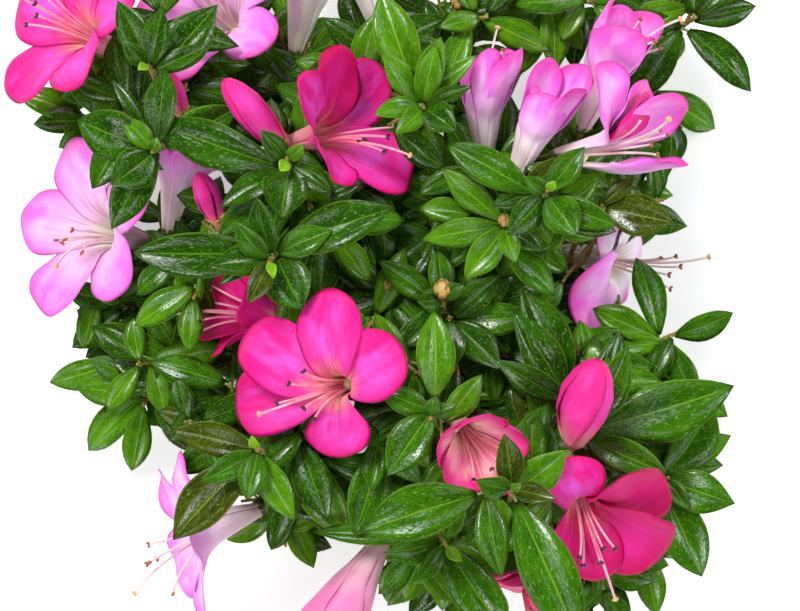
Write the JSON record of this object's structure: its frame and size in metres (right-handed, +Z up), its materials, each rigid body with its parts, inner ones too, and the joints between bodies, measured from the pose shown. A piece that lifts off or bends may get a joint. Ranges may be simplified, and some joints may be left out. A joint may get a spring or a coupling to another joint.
{
  "type": "flowering azalea branch",
  "caption": "Cut flowering azalea branch lying flat: a woody stem with boughs, whorls of pointed leaves, open pink and pale funnel blooms, and closed buds.",
  "frame": {"origin": "on the surface that the branch lies on, under the middle of its bounding box", "axes": "+Z up from the surface through the face of the branch, +Y towards the cut end of the stem, +X to the right as the face is seen from above"},
  "size_m": [0.2146, 0.235, 0.1018],
  "materials": {
    "bark": "dull brown bark, greener on the thin boughs",
    "leaf": "glossy dark green leaf with pale veins and fine white hairs",
    "petal_deep": "soft magenta-pink petal with a satin sheen",
    "petal_pale": "soft pale pink petal fading to white at its foot"
  },
  "bodies": {
    "root": {"bloom_behind": "petal_deep", "bloom_centre": "petal_deep", "bloom_faded": "petal_deep", "bloom_furled": "petal_pale", "bloom_half_open": "petal_deep", "bloom_left_back": "petal_pale", "bloom_left_middle": "petal_pale", "bloom_left_top": "petal_deep", "bloom_lilac": "petal_pale", "bloom_lower_right": "petal_deep", "bloom_pale_folded": "petal_pale", "bloom_pale_left": "petal_pale", "bloom_pale_right": "petal_pale", "bloom_pale_top": "petal_pale", "bloom_top_back": "petal_pale", "bloom_top_edge": "petal_pale", "bloom_top_tube": "petal_pale", "bloom_upper": "petal_deep", "bloom_white": "petal_pale", "bough_centre": "bark", "bough_left_back": "bark", "bough_left_front": "bark", "bough_left_heart": "bark", "bough_lower_front": "bark", "bough_lower_left": "bark", "bough_right_lower": "bark", "bough_right_middle": "bark", "bough_right_upper": "bark", "bough_top_left_back": "bark", "bough_top_middle": "bark", "bough_top_right": "bark", "bough_upper_left": "bark", "bough_upper_right": "bark", "bud_left_deep": "petal_deep", "bud_left_top": "petal_deep", "bud_right": "petal_deep", "bud_upper": "petal_deep", "leaves_bottom": "leaf", "leaves_centre": "leaf", "leaves_left_back": "leaf", "leaves_left_front": "leaf", "leaves_left_heart": "leaf", "leaves_lower_front": "leaf", "leaves_lower_left": "leaf", "leaves_right_lower": "leaf", "leaves_right_middle": "leaf", "leaves_right_upper": "leaf", "leaves_top_left_back": "leaf", "leaves_top_middle": "leaf", "leaves_top_right": "leaf", "leaves_upper_left": "leaf", "leaves_upper_right": "leaf", "main_stem": "bark"}
  },
  "joints": []
}
